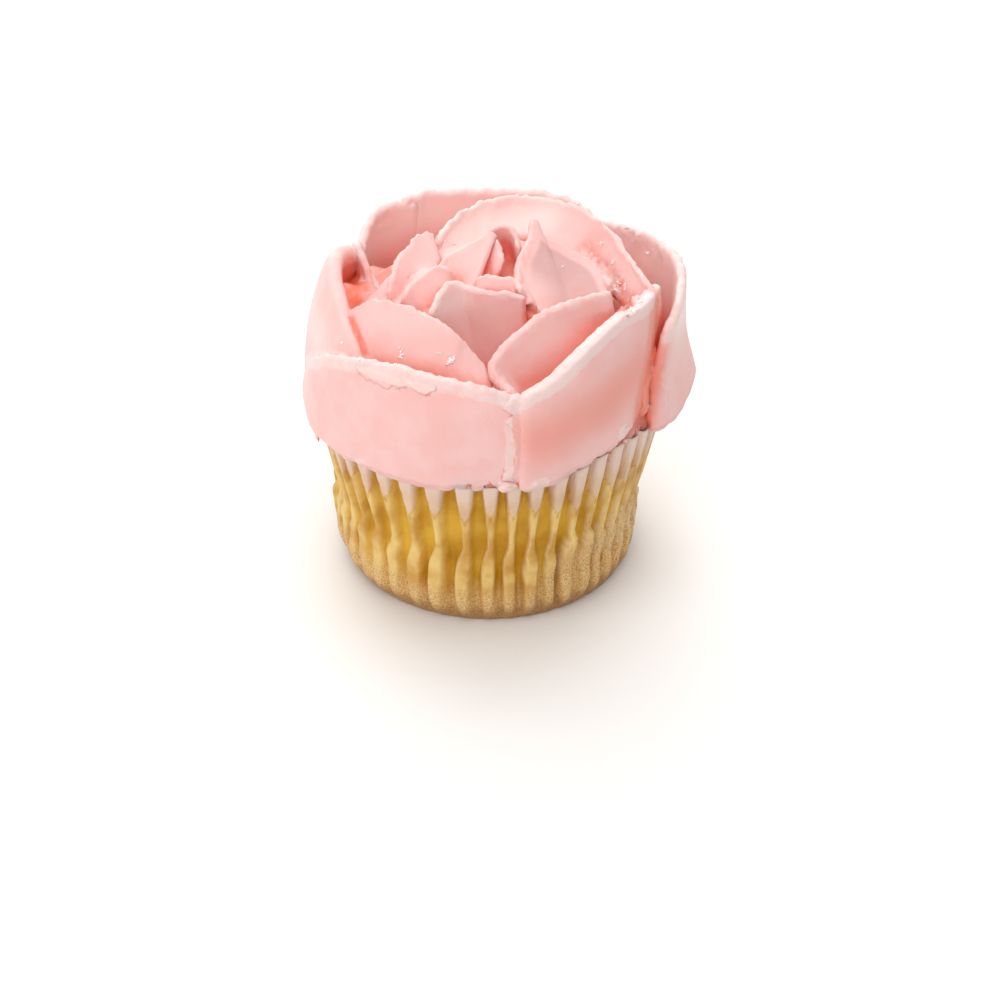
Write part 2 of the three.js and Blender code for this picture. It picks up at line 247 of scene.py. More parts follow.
# How far apart a petal's points are along it and up it, how many round off its lip, and how much closer
# together they are at its ends
ALONG_STEP = 0.48
UP_STEP = 0.85
LEAST_UP_STEPS = 6
CAP_STEPS = 5
END_CROWDING = 0.35
LIP_CROWDING = 0.85

# The waves that make a lip ragged and a foot uneven: how long and how strong each is, and its own seed
LIP_WAVES = [(3, 1, 0), (1.4, 0.6, 50), (0.7, 1, 90)]
FOOT_WAVES = [(5, 1, 20), (1.8, 0.7, 70)]


def ragged(places, seed, waves):
    """The sum of several waves at places along a line."""
    return sum(strength * wander(places, seed + own, size) for size, strength, own in waves)


def petal(name, seed, lip, foot, belly, dried, foot_thick, lip_thick, crown, torn, pale, hem):
    """One petal as a closed ribbon with a rounded lip and rounded ends. Returns it, and its lip's line with
    the width of the dried band and how pale that is."""
    lip_curve = smooth_curve(lip)
    length = spaced(lip_curve, [0])[1]
    steps = int(length / ALONG_STEP)
    even = np.linspace(0, 1, steps + 1)
    crowded = (1 - np.cos(np.linspace(0, math.pi, steps + 1))) / 2
    u = crowded * END_CROWDING + even * (1 - END_CROWDING)
    high, _ = spaced(lip_curve, u)
    low, _ = spaced(smooth_curve(foot), u)
    high = high + unit(high - low) * (torn * ragged(u * length, seed, LIP_WAVES))[:, None]
    low[:, 2] += hem * ragged(u * length, seed, FOOT_WAVES)
    rise = np.linalg.norm(high - low, axis=1).max()
    v = np.linspace(0, 1, max(int(rise / UP_STEP), LEAST_UP_STEPS)) ** LIP_CROWDING
    control = (high + low) / 2
    control = control + unit(control * [1, 1, 0]) * 2 * belly
    w = v[None, :, None]
    surface = (1 - w) ** 2 * low[:, None] + 2 * w * (1 - w) * control[:, None] + w ** 2 * high[:, None]
    along = np.gradient(surface, axis=0)
    up = unit(np.gradient(surface, axis=1))
    normal = unit(np.cross(along, up))
    to_end = np.minimum(u, 1 - u) * length
    ends = np.sqrt(1 - (1 - np.clip(to_end / lip_thick, 0.02, 1)) ** 2)
    half = (foot_thick + (lip_thick - foot_thick) * v) / 2
    half = half[None, :, None] * ends[:, None, None]
    caps = []
    for turn in np.linspace(0, math.pi, CAP_STEPS + 2)[1:-1]:
        side = normal[:, -1] * math.cos(turn) + up[:, -1] * math.sin(turn) * crown
        caps.append(surface[:, -1] + half[:, -1] * side)
    rings = np.concatenate([surface - normal * half, np.stack(caps[::-1], 1),
                            (surface + normal * half)[:, ::-1]], axis=1)
    obj = mesh_object(name, rings.reshape(-1, 3), shut_tube_faces(*rings.shape[:2]))
    closed_outward(obj)
    return obj, (surface[:, -1], dried, pale)


# A lump longer than this has more faces
LONG_LUMP = 2


def lump(name, middle, halves, rough=0):
    """A ball stretched outwards, across and up, with its middle at (bearing, radius, height)."""
    edit = bmesh.new()
    bmesh.ops.create_icosphere(edit, subdivisions=4 if max(halves) > LONG_LUMP else 3, radius=1)
    turn = math.radians(middle[0])
    centre = polar([middle])[0]
    points = []
    for vertex in edit.verts:
        p = vertex.co * (1 + rough * noise.noise(vertex.co * 2 + Vector(centre)))
        x, y, z = p.x * halves[0], p.y * halves[1], p.z * halves[2]
        points.append((centre[0] + x * math.cos(turn) - y * math.sin(turn),
                       centre[1] + x * math.sin(turn) + y * math.cos(turn), centre[2] + z))
    faces = [[v.index for v in f.verts] for f in edit.faces]
    edit.free()
    obj = mesh_object(name, points, faces)
    closed_outward(obj)
    return obj


# A flake's section: how far from its line, as a share of its reach, and how high over the icing
FLAKE_SECTION = [(0, -0.6), (0, -0.08), (0.25, 0.08), (0.55, 0.2), (0.85, 0.22), (1, 0.1), (0.9, -0.6),
                 (0.5, -0.7)]
FLAKE_STEP = 0.35
FLAKE_WAVE = 1.3
FLAKE_RAGGEDNESS = 0.25
# How far outside the icing the search for its surface starts
CAST_FROM = 4


def flake(name, seed, line, reaches, body):
    """A thin torn flake on the outside of the petals, which hangs from a line to the left or down."""
    curve = smooth_curve(line)
    steps = int(spaced(curve, [0])[1] / FLAKE_STEP)
    shares = np.linspace(0, 1, steps + 1)
    edge, length = spaced(curve, shares)
    along = unit(np.gradient(edge, axis=0))
    out = unit(edge * [1, 1, 0])
    down = np.cross(along, out)
    down *= np.where(down[:, 2:] + 0.5 * down[:, :1] > 0, -1, 1)
    reach = np.interp(shares, np.linspace(0, 1, len(reaches)), reaches)
    reach = reach * (1 + FLAKE_RAGGEDNESS * wander(shares * length, seed + 200, FLAKE_WAVE))
    rows = []
    for far, up in FLAKE_SECTION:
        row = edge + down * (reach * far)[:, None]
        for index, spot in enumerate(row):
            way = Vector(out[index])
            hit = body.ray_cast((Vector(spot) + way * CAST_FROM) * MM, -way, 2 * CAST_FROM * MM)[0]
            if hit is not None:
                row[index] = hit / MM
        rows.append(row + out * up)
    rings = np.stack(rows, 1)
    obj = mesh_object(name, rings.reshape(-1, 3), shut_tube_faces(*rings.shape[:2]))
    closed_outward(obj)
    return obj


def closed_outward(obj):
    """Points every face of a closed mesh outwards."""
    edit = bmesh.new()
    edit.from_mesh(obj.data)
    bmesh.ops.triangulate(edit, faces=[f for f in edit.faces if len(f.verts) > 4])
    bmesh.ops.recalc_face_normals(edit, faces=edit.faces)
    if edit.calc_volume(signed=True) < 0:
        bmesh.ops.reverse_faces(edit, faces=edit.faces)
    edit.to_mesh(obj.data)
    edit.free()


RIPPLE_LENGTH = 6
LEAST_RIPPLED_RADIUS = 5


def turned(name, profile, columns, ripple=0):
    """A round body from (radius, height) rows that start and end near the axis."""
    angles = np.linspace(0, 2 * math.pi, columns, endpoint=False)
    points = []
    for radius, height in profile:
        for angle in angles:
            spot = Vector((radius * math.cos(angle), radius * math.sin(angle), height))
            grow = 1 + ripple * noise.noise(spot / RIPPLE_LENGTH) / max(radius, LEAST_RIPPLED_RADIUS)
            points.append((spot.x * grow, spot.y * grow, height))
    obj = mesh_object(name, points, shut_tube_faces(len(profile), columns))
    closed_outward(obj)
    return obj


def boolean(base, others, operation):
    """base joined with or cut by the others, which are used up. Returns the new mesh object."""
    tools = bpy.data.collections.new("tools")
    bpy.context.scene.collection.children.link(tools)
    for other in others:
        tools.objects.link(other)
    cut = base.modifiers.new("cut", "BOOLEAN")
    cut.operation = operation
    cut.solver = "MANIFOLD"
    cut.operand_type = "COLLECTION"
    cut.collection = tools
    bpy.context.view_layer.update()
    evaluated = base.evaluated_get(bpy.context.evaluated_depsgraph_get())
    mesh = bpy.data.meshes.new_from_object(evaluated)
    base.modifiers.remove(cut)
    base.data = mesh
    for other in others:
        bpy.data.objects.remove(other, do_unlink=True)
    bpy.data.collections.remove(tools)
    return base


def fill_in(profile, step):
    """The same profile with points no further than step apart."""
    rows = []
    for (r0, h0), (r1, h1) in zip(profile, profile[1:]):
        parts = max(int(math.hypot(r1 - r0, h1 - h0) / step), 1)
        rows += [(r0 + (r1 - r0) * i / parts, h0 + (h1 - h0) * i / parts) for i in range(parts)]
    return rows + [profile[-1]]


def points_of(mesh):
    flat = np.empty(len(mesh.vertices) * 3, np.float32)
    mesh.vertices.foreach_get("co", flat)
    return flat.reshape(-1, 3)


def set_points(mesh, points):
    mesh.vertices.foreach_set("co", np.ascontiguousarray(points, np.float32).ravel())
    mesh.update()


def normals_of(mesh):
    flat = np.empty(len(mesh.vertices) * 3, np.float32)
    mesh.vertices.foreach_get("normal", flat)
    return flat.reshape(-1, 3)


def surface_of(mesh):
    """A mesh's faces, to cast rays at."""
    return BVHTree.FromPolygons([v.co for v in mesh.vertices], [p.vertices for p in mesh.polygons])


def store(mesh, name, values):
    """Keeps one number for each point, for the material to read."""
    layer = mesh.attributes.new(name, "FLOAT", "POINT")
    layer.data.foreach_set("value", np.ascontiguousarray(values, np.float32))


# How far a fold is felt, how many rays look for it, and the turn from each ray to the next
FOLD_REACH = 12 * MM
RAYS = 16
GOLDEN_TURN = 2.399963
# How far off the surface the rays start
OFF_SURFACE = 0.05 * MM


def hollowness(mesh):
    """How deep in a fold each point lies: the share of the open half round it that is blocked nearby."""
    tree = surface_of(mesh)
    fan = []
    for i in range(RAYS):
        lift = math.sqrt((i + 0.5) / RAYS)
        turn = i * GOLDEN_TURN
        flat = math.sqrt(1 - lift * lift)
        fan.append((flat * math.cos(turn), flat * math.sin(turn), lift))
    blocked = np.zeros(len(mesh.vertices))
    for index, vertex in enumerate(mesh.vertices):
        normal = vertex.normal
        side = normal.orthogonal().normalized()
        other = normal.cross(side)
        start = vertex.co + normal * OFF_SURFACE
        total = 0.0
        for x, y, z in fan:
            way = side * x + other * y + normal * z
            hit = tree.ray_cast(start, way, FOLD_REACH)
            if hit[0] is not None:
                total += 1 - hit[3] / FOLD_REACH
        blocked[index] = total / RAYS
    return blocked


# Hollows left in the mound between the petals, as middle and half sizes
POCKETS = [((268, 18.5, 56), (9, 12.5, 12)), ((152, 22, 51), (4, 7, 4.5))]

# More of the mound, in the same way: under the raised foot of the front right petal, in the creases on both
# sides of the right petal's front edge, and in the fold behind the left petal
FILLS = [
    ((341, 27.6, 37), (3, 4.6, 5)), ((312, 27.3, 34.3), (3.1, 8, 3.6)), ((333, 26.6, 34.6), (3, 6, 4)),
    ((349, 30.3, 36), (3.2, 5, 4)), ((163, 23.5, 42), (6.5, 10, 8)), ((342, 25.6, 51.2), (2.6, 3.6, 4.6)),
    ((340, 28.9, 41), (1.7, 5, 9)), ((342, 29, 35.6), (2.6, 4.6, 4)),
]

# Dried bits squeezed out on the case's rim, as middle and half sizes outwards, across and up
BITS = [
    ((275.8, 31.4, 33.2), (1.1, 1.6, 0.9)), ((286, 31.2, 33.4), (1.1, 1.9, 0.9)),
    ((318, 30.2, 37.4), (1.0, 1.8, 0.9)),
]

# Thin flakes that hang from the front left lip and along the front seam: the line each one follows, how far
# it reaches to its ragged edge at each point, and the line round which it has dried pale
FLAKES = [
    ([(224, 31.9, 51.9), (232, 32.1, 52.6), (243, 32.2, 53.2), (254, 31.9, 53)],
     [0.8, 2.2, 3.0, 2.2, 1.6, 2.5, 0.8],
     [(228, 31.9, 51.6), (243, 32.1, 52.2), (252, 31.9, 52.2)]),
    ([(280, 32.2, 51.2), (280.2, 32.8, 47), (280, 32.7, 42), (279.5, 32.2, 37), (279, 31.5, 34)],
     [1.5, 3.4, 1.8, 3.0, 1.4, 2.4, 1.0, 1.2, 0.8, 1.5, 2.8, 2.4],
     [(276.2, 32.6, 51), (276, 33, 47), (276.4, 32.8, 42), (276.2, 32.3, 37), (275.6, 31.5, 34)]),
]

# Painted shade and glow in the deepest folds, where the icing's colour is darker and stronger: their lines,
# half widths and strengths
PAINTED_FOLD_LINES = [
    ([(346, 29.5, 54), (338, 30, 47.8), (333, 30, 43), (330, 28.8, 37)], 3.6, 0.7),
    ([(286, 31.5, 43), (300, 31, 45), (315, 30.5, 46), (330, 29.5, 47)], 7.5, 0.3),
    ([(202, 25.6, 53), (209, 25.9, 52.3), (217, 26.6, 50.7)], 0.8, 0.6),
    ([(150, 26.5, 47.5), (163, 24.5, 49.5), (180, 23.5, 49)], 2.5, 0.8),
    ([(126, 27.5, 45), (138, 25, 46.5), (150, 22, 48)], 3.5, 0.42),
]

# Where the icing is torn and smeared: bearing, height, and how far it reaches round and up
TORN = [
    (276.5, 48, 2.2, 4), (275.5, 40, 1.2, 7), (276, 34, 2.5, 3), (226, 33, 12, 1.4), (262, 32.8, 9, 1.0),
    (302, 34.5, 10, 1.6), (339, 40, 2.5, 9), (129, 51, 5, 2.5), (60, 33, 15, 2), (150, 33, 20, 2),
    (30, 53, 12, 1.2),
]

# Petals so thin that light comes through, painted in as a paler colour: their lines, half widths and
# strengths
PAINTED_LIGHT_THROUGH = [
    ([(165, 30, 49), (185, 29.5, 48), (203, 29.5, 47)], 3.5, 0.55),
    ([(70, 31.5, 52), (95, 31, 51.5), (115, 31.5, 50.5), (138, 29.5, 48.5)], 5, 0.9),
    ([(348, 33, 52), (5, 32.5, 51), (20, 32, 50), (40, 31, 50)], 5.5, 0.9),
    ([(240, 15.5, 58), (242, 13.5, 57.5), (246, 12.5, 58)], 2.6, 0.8),
    ([(95, 17, 58), (120, 14, 57.5), (60, 20, 58)], 4, 0.85),
]

# Faces darkened by painted shade where they turn from the light: their lines, half widths and strengths
PAINTED_FACE_SHADE = [([(5, 9, 60.5), (352, 12.5, 59.5), (345, 16, 58.4), (333, 18, 57.5)], 7.5, 1)]

# The trough that was scraped between the middle and the right petals, and how deep it is
TROUGH = [([(30, 19.2, 56), (17.3, 19.8, 55.2), (5, 21, 55), (354.6, 22.2, 54), (340, 25.5, 56),
            (327, 28.2, 59)], 1.7, 1)]
TROUGH_DEPTH = 0.7

# The icing's soft unevenness, and the crumbs where it is torn: how long each wave is, and how far it
# stands out
ICING_WAVES = [(6, 0.22), (1.8, 0.05)]
CRUMBS = [(0.9, 1), (0.5, 0.6)]

# What is cut away under the icing, to leave room for the cake: (radius, height) from the floor up
UNDER = [(AXIS, 0), (26, 0), (26, 31.6), (20, 34.5), (12, 36), (AXIS, 36.4)]


def near_line(points, line):
    """How far each point is from a line through (bearing, radius, height) rows."""
    marks = smooth_curve(line, 30)
    tree = kdtree.KDTree(len(marks))
    for index, mark in enumerate(marks):
        tree.insert(Vector(mark), index)
    tree.balance()
    return np.array([tree.find(Vector(p))[2] for p in points])


def near_lips(points, lips):
    """How pale each point has dried, and how far it is from the nearest lip."""
    tree = kdtree.KDTree(sum(len(edge) for edge, _, _ in lips))
    traits = []
    for edge, band, pale in lips:
        for spot in edge:
            tree.insert(Vector(spot), len(traits))
            traits.append((band, pale))
    tree.balance()
    dried, away = np.zeros(len(points)), np.zeros(len(points))
    for index, spot in enumerate(points):
        _, nearest, distance = tree.find(Vector(spot))
        band, pale = traits[nearest]
        dried[index] = pale * max(0, min(1, (band * 0.95 - distance) / 0.5 + 0.5))
        away[index] = distance
    return dried, away


def bands(points, rows):
    """The strongest at each point of several soft bands, each with a line, a half width and a strength."""
    return np.max([strength * np.exp(-(near_line(points, line) / width) ** 2)
                   for line, width, strength in rows], axis=0)


def waves_at(spot, waves):
    """The sum of several noises at a place, each with its length and how far it stands out."""
    return sum(reach * noise.noise(spot / length) for length, reach in waves)


def torn_patches(points):
    """How torn the icing is at each point, on the outside only."""
    bearing = np.degrees(np.arctan2(points[:, 1], points[:, 0])) % 360
    outside = smoothstep(24, 27, np.hypot(points[:, 0], points[:, 1]))
    torn = np.zeros(len(points))
    for at, height, wide, tall in TORN:
        away = (bearing - at + 180) % 360 - 180
        torn = np.maximum(torn, np.exp(-(away / wide) ** 2 - ((points[:, 2] - height) / tall) ** 2))
    return torn * outside


def make_icing():
    """The rose: petals on a mound, joined into one body and cut clear of the case's rim."""
    profile = fill_in([(AXIS, MOUND_BOTTOM), *MOUND], 1.2)
    mound = turned("icing_rose_piped", profile, columns=110, ripple=1.5)
    boolean(mound, [lump("pocket", *pocket) for pocket in POCKETS], "DIFFERENCE")
    joined, lips = [], []
    for seed, (name, shape) in enumerate(PETALS.items()):
        obj, lip = petal(name, seed, **shape)
        joined.append(obj)
        lips.append(lip)
    joined += [lump("bit", *bit, rough=0.5) for bit in BITS + FILLS]
    icing = boolean(mound, joined, "UNION")
    body = surface_of(icing.data)
    flakes = [flake(f"flake_{i}", i, line, reaches, body) for i, (line, reaches, _) in enumerate(FLAKES)]
    icing = boolean(icing, flakes, "UNION")
    icing = boolean(icing, [case_clearance()], "DIFFERENCE")
    icing = boolean(icing, [turned("under", UNDER, columns=90)], "DIFFERENCE")
    icing.data.shade_smooth()
    finish_icing(icing.data, lips)
    return icing


def finish_icing(mesh, lips):
    """Roughens the icing a little and keeps what its material needs to know at each point."""
    points = points_of(mesh) / MM
    normals = normals_of(mesh)
    dried, away = near_lips(points, lips)
    torn = torn_patches(points)
    on_lip = 1 - smoothstep(0.7, 1.7, away)
    trough = bands(points, TROUGH)
    on_bit = np.zeros(len(points))
    for middle, halves in BITS:
        gap = np.linalg.norm(points - polar([middle])[0], axis=1)
        on_bit = np.maximum(on_bit, 1 - smoothstep(max(halves) * 0.9, max(halves) * 1.3, gap))
    for _, _, pale_line in FLAKES:
        on_bit = np.maximum(on_bit, 1 - smoothstep(0.4, 1.5, near_line(points, pale_line)))
    swell = np.zeros(len(points))
    for index, p in enumerate(points):
        spot = Vector(p)
        swell[index] = waves_at(spot, ICING_WAVES)
        rough = torn[index] * 0.3 + trough[index] * 0.65 + on_lip[index] * 0.2
        if rough > 0.02:
            swell[index] += rough * waves_at(spot, CRUMBS)
    swell -= trough * TROUGH_DEPTH
    set_points(mesh, (points + normals * swell[:, None]) * MM)

    # Painted shade and glow: how deep each point lies in a fold, and the lines of the deepest folds
    painted_fold_shade = np.maximum(hollowness(mesh) * smoothstep(0.3, 3.5, away), bands(points, PAINTED_FOLD_LINES))
    store(mesh, "lip", dried)
    store(mesh, "torn", np.max([torn * 0.6, on_bit, trough * 0.75], axis=0))
    # The scraped trough takes a little of the painted fold shade too
    store(mesh, "painted_fold_shade", np.maximum(painted_fold_shade, trough * 0.32))
    # Painted light where thin petals let light through
    store(mesh, "thin", bands(points, PAINTED_LIGHT_THROUGH))
    # Painted shade on a face turned from the light, kept off the lips
    store(mesh, "painted_face_shade", smoothstep(1, 3, away) * bands(points, PAINTED_FACE_SHADE))


# The numbers of the Mix node's two colour inputs, because other inputs have the same names
FIRST_COLOUR = 6
SECOND_COLOUR = 7


def node(tree, kind, inputs=None, **settings):
    """Adds a node with its settings, and links or sets its inputs."""
    made = tree.nodes.new(kind)
    for key, value in settings.items():
        setattr(made, key, value)
    for key, value in (inputs or {}).items():
        if isinstance(value, bpy.types.NodeSocket):
            tree.links.new(value, made.inputs[key])
        else:
            made.inputs[key].default_value = value
    return made


def new_material(name):
    material = bpy.data.materials.new(name)
    material.use_nodes = True
    tree = material.node_tree
    tree.nodes.clear()
    out = node(tree, "ShaderNodeOutputMaterial")
    return material, tree, out


def blend(tree, factor, first, second, way="MIX"):
    """The colour between two, by a factor."""
    a, b = [linear(c) if isinstance(c, str) else c for c in (first, second)]
    mix = node(tree, "ShaderNodeMix", {"Factor": factor, FIRST_COLOUR: a, SECOND_COLOUR: b},
               data_type="RGBA", blend_type=way)
    return mix.outputs["Result"]


def ramp(tree, value, low, high, top=1.0):
    """0 where value is low and top where it is high."""
    limits = {"Value": value, "From Min": low, "From Max": high, "To Max": top}
    made = node(tree, "ShaderNodeMapRange", limits, interpolation_type="SMOOTHSTEP")
    return made.outputs["Result"]


def grain(tree, place, size_mm, detail=3.0):
    """Noise whose lumps are about size_mm across."""
    scale = 1000 / size_mm
    made = node(tree, "ShaderNodeTexNoise", {"Vector": place, "Scale": scale, "Detail": detail})
    return made.outputs["Fac"]


def shown(tree, name):
    """A number kept on the mesh's points."""
    return node(tree, "ShaderNodeAttribute", attribute_name=name).outputs["Fac"]


def math_node(tree, operation, first, second):
    return node(tree, "ShaderNodeMath", {0: first, 1: second}, operation=operation).outputs[0]


# Sugar crystals that sparkle on the icing: bearing, radius and height of each cluster, how far it spreads
# and how many there are
CRYSTALS = [
    (25, 21.5, 57.2, 0.4, 3), (11.7, 22, 56.1, 0.4, 3), (359, 22.1, 54.8, 0.6, 7),
    (356.8, 23.2, 55, 0.5, 6), (337.4, 28.1, 58.1, 0.5, 4), (330, 28.6, 58.7, 0.6, 6),
    (39.1, 31.7, 53.8, 0.5, 4), (27, 31.6, 52.2, 0.5, 2), (209.3, 27.1, 50, 0.6, 3),
    (225, 30.6, 52.6, 0.6, 4), (233, 24.9, 52.5, 0.8, 10), (239, 30.2, 54.2, 0.5, 3),
    (255, 24.6, 53.4, 0.9, 16), (250, 24, 54.5, 0.7, 3), (122.9, 12.5, 56.3, 0.7, 5),
    (150, 30, 53, 5, 2), (70, 31, 54, 8, 3), (352, 13, 59.5, 1, 2), (300, 12, 57, 0.7, 2),
]
CRYSTAL_SIZE = 0.27 * MM
CRYSTAL_SEED = 4
SPOT_SEED = 23
# How far a crystal's middle stands over the icing, as a share of its size
STANDS_OVER = 0.3
# The most that each may be turned, in radians
FULL_TURN = 6.28
# How much each crystal is stretched along its own axes, at least and at most
LEAST_STRETCH = (0.5, 0.5, 0.3)
MOST_STRETCH = (1.7, 1.2, 0.9)


def crystal_maker(material):
    """A node tree that sets one cut crystal on every point, turned and sized at random."""
    tree = bpy.data.node_groups.new("crystal_maker", "GeometryNodeTree")
    sockets = {}
    for name, kind, way in (("Points", "Geometry", "INPUT"), ("Crystal size", "Float", "INPUT"),
                            ("Seed", "Int", "INPUT"), ("Crystals", "Geometry", "OUTPUT")):
        made = tree.interface.new_socket(name, in_out=way, socket_type="NodeSocket" + kind)
        sockets[name] = made.identifier
    given = node(tree, "NodeGroupInput").outputs
    crystal = node(tree, "GeometryNodeMeshIcoSphere", {"Radius": 1.0, "Subdivisions": 1}).outputs["Mesh"]
    turn = node(tree, "FunctionNodeRandomValue", data_type="FLOAT_VECTOR")
    turn.inputs[1].default_value = (FULL_TURN, FULL_TURN, FULL_TURN)
    stretch = node(tree, "FunctionNodeRandomValue", data_type="FLOAT_VECTOR")
    stretch.inputs[0].default_value = LEAST_STRETCH
    stretch.inputs[1].default_value = MOST_STRETCH
    for random_value in (turn, stretch):
        tree.links.new(given["Seed"], random_value.inputs["Seed"])
    size = node(tree, "ShaderNodeVectorMath", {0: stretch.outputs[0], "Scale": given["Crystal size"]},
                operation="SCALE").outputs["Vector"]
    set_out = node(tree, "GeometryNodeInstanceOnPoints", {
        "Points": given["Points"], "Instance": crystal, "Rotation": turn.outputs[0], "Scale": size})
    solid = node(tree, "GeometryNodeRealizeInstances", {0: set_out.outputs[0]})
    painted = node(tree, "GeometryNodeSetMaterial", {"Geometry": solid.outputs[0], "Material": material})
    node(tree, "NodeGroupOutput", {0: painted.outputs[0]})
    return tree, sockets


def make_crystals(icing, material):
    """Sugar crystals, each sunk a little into the icing's surface."""
    draw = random.Random(SPOT_SEED)
    surface = surface_of(icing.data)
    spots = []
    for bearing, radius, height, spread, count in CRYSTALS:
        middle = polar([(bearing, radius, height)])[0]
        for _ in range(count):
            near = Vector([c + draw.gauss(0, spread / 2) for c in middle]) * MM
            place, normal, _, _ = surface.find_nearest(near)
            spots.append((place + normal * CRYSTAL_SIZE * STANDS_OVER) / MM)
    crystals = mesh_object("sugar_crystals", spots, [], smooth=False)
    maker = crystals.modifiers.new("maker", "NODES")
    maker.node_group, sockets = crystal_maker(material)
    maker[sockets["Crystal size"]] = CRYSTAL_SIZE
    maker[sockets["Seed"]] = CRYSTAL_SEED
    crystals.update_tag()
    bpy.context.view_layer.update()
    evaluated = crystals.evaluated_get(bpy.context.evaluated_depsgraph_get())
    made = bpy.data.meshes.new_from_object(evaluated)
    crystals.modifiers.remove(maker)
    crystals.data = made
    return crystals


def sugar():
    """Coarse sugar: hard cut crystals, white with a wet shine, so that each facet glints."""
    material, tree, out = new_material("sugar")
    place = node(tree, "ShaderNodeTexCoord").outputs["Object"]
    colour = blend(tree, ramp(tree, grain(tree, place, 0.8), 0.4, 0.6), "#ffffff", "#fff0ec")
    body = node(tree, "ShaderNodeBsdfPrincipled", {
        "Base Color": colour, "Roughness": 0.12, "IOR": 1.54, "Specular IOR Level": 0.8})
    tree.links.new(body.outputs[0], out.inputs["Surface"])
    return material


def buttercream():
    """Shortening buttercream: smooth and satin. It lets light in a little way, which makes its folds glow a
    little, and dries paler along its thin lips. Most of the glow and shade in its folds is painted into its
    colour, and so are the light through thin petals and the shade on a face turned from the light."""
    material, tree, out = new_material("pink_buttercream")
    place = node(tree, "ShaderNodeTexCoord").outputs["Object"]
    base = blend(tree, ramp(tree, grain(tree, place, 6.0), 0.35, 0.65), "#f4c0ba", "#f6c8c3")
    # Painted shade: the colour turns darker and redder deeper in a fold
    painted_light_and_shade = blend(tree, ramp(tree, shown(tree, "painted_fold_shade"), 0.06, 0.38), base, "#f09a8b")
    # Painted light where thin petals let light through
    painted_light_and_shade = blend(tree, shown(tree, "thin"), painted_light_and_shade, "#fbe0da")
    # Painted glow: the colour turns bright orange in the deepest folds
    painted_fold_glow = blend(tree, ramp(tree, shown(tree, "painted_fold_shade"), 0.45, 0.85), painted_light_and_shade, "#ff8a68")
    uneven = math_node(tree, "MULTIPLY", grain(tree, place, 1.6, 4.0), 0.8)
    uneven_lip = math_node(tree, "ADD", shown(tree, "lip"), uneven)
    dried = blend(tree, ramp(tree, uneven_lip, 0.75, 1.25, 0.85), painted_fold_glow, "#f3dad6")
    smears = math_node(tree, "ADD", shown(tree, "torn"), grain(tree, place, 1.5, 5.0))
    # Painted shade on a face turned from the light
    painted_face_shade = ramp(tree, shown(tree, "painted_face_shade"), 0.2, 0.9)
    face_shaded = blend(tree, painted_face_shade, dried, "#e6dfdf", "MULTIPLY")
    colour = blend(tree, ramp(tree, smears, 1.0, 1.25, 0.7), face_shaded, "#f8dcd6")
    ripped = math_node(tree, "MULTIPLY", grain(tree, place, 0.9, 4.0), shown(tree, "torn"))
    height = math_node(tree, "ADD", grain(tree, place, 0.4, 2.0), grain(tree, place, 2.0))
    height = math_node(tree, "ADD", height, math_node(tree, "MULTIPLY", ripped, 8.0))
    bump = node(tree, "ShaderNodeBump", {"Height": height, "Strength": 0.25, "Distance": 0.2 * MM})
    skin = node(tree, "ShaderNodeBsdfPrincipled", {
        "Base Color": colour, "Roughness": 0.42, "IOR": 1.45, "Normal": bump.outputs["Normal"],
        "Subsurface Weight": 0.5, "Subsurface Radius": (1.0, 0.6, 0.5), "Subsurface Scale": 1.5 * MM,
        "Specular IOR Level": 0.5})
    tree.links.new(skin.outputs[0], out.inputs["Surface"])
    return material


# The pleats that show at the front, from left to right: bearing from the front, height of the tip of the
# pale tongue where the paper stands clear of the cake, height of the top of the puff at its foot, how far
# that puff stands out, and how deep the valley on its right is in the lower half
FRONT_PLEATS = [
    (-70, 24, 14, 0.3, 0.6), (-62, 23, 13, 0.4, 0.5), (-54, 25, 16, 0.3, 0.15), (-46, 23.8, 15, 0.4, 0.5),
    (-37.3, 25, 14, 0.5, 0.7), (-28, 23, 13, 0.5, 0.9), (-18.4, 24, 15.6, 1.2, 1.1),
    (-7.7, 23.6, 15.2, 1.3, 0.8), (1, 25, 12, 0.8, 0.9), (8.6, 24.7, 11, 0.9, 0.8),
    (16.2, 25.1, 15, 1.1, 0.5), (24.7, 23.7, 14, 0.6, 1.6), (32.2, 22.8, 18, 1.1, 0.05),
    (40, 23.5, 17, 0.9, 1.0), (47.5, 24, 15, 0.6, 0.8), (55.5, 23, 14, 0.4, 0.6), (63, 24, 14, 0.4, 0.6),
]
# The other pleats: their pitch and the play in it, in degrees, and the ranges of the same four measures
EVEN_PITCH = 8.3
PLAY = 0.9
PLEAT_RANGES = [(22.5, 25.5), (12, 17), (0.2, 0.7), (0.3, 1)]
PLEAT_SEED = 11

# How far a pleat's foot is kinked sideways, in degrees, and at what heights, and how sharp a puff's top is
KINK = 0.7
KINK_HEIGHTS = (11, 15)
PUFF_EDGES = (0.3, 1.0)
KINK_SEED = 5

PLEAT_COLUMNS = 16
CASE_HEIGHT = 32.5
PAPER = 0.14
# How far the rim stands up at the front right, and where and over how many degrees
RIM_LIFT = 2.2
RIM_LIFT_BEARING = 316
RIM_LIFT_SPREAD = 17
# How far the whole case bulges to the left, most of all a quarter of the way up
BULGE = 0.6
# The paper's soft dents, and how deep its sharp creases are
DENTS = [(2.4, 0.12), (6, 0.25)]
CREASE_DEPTH = 0.7
CREASE_LENGTH = 8

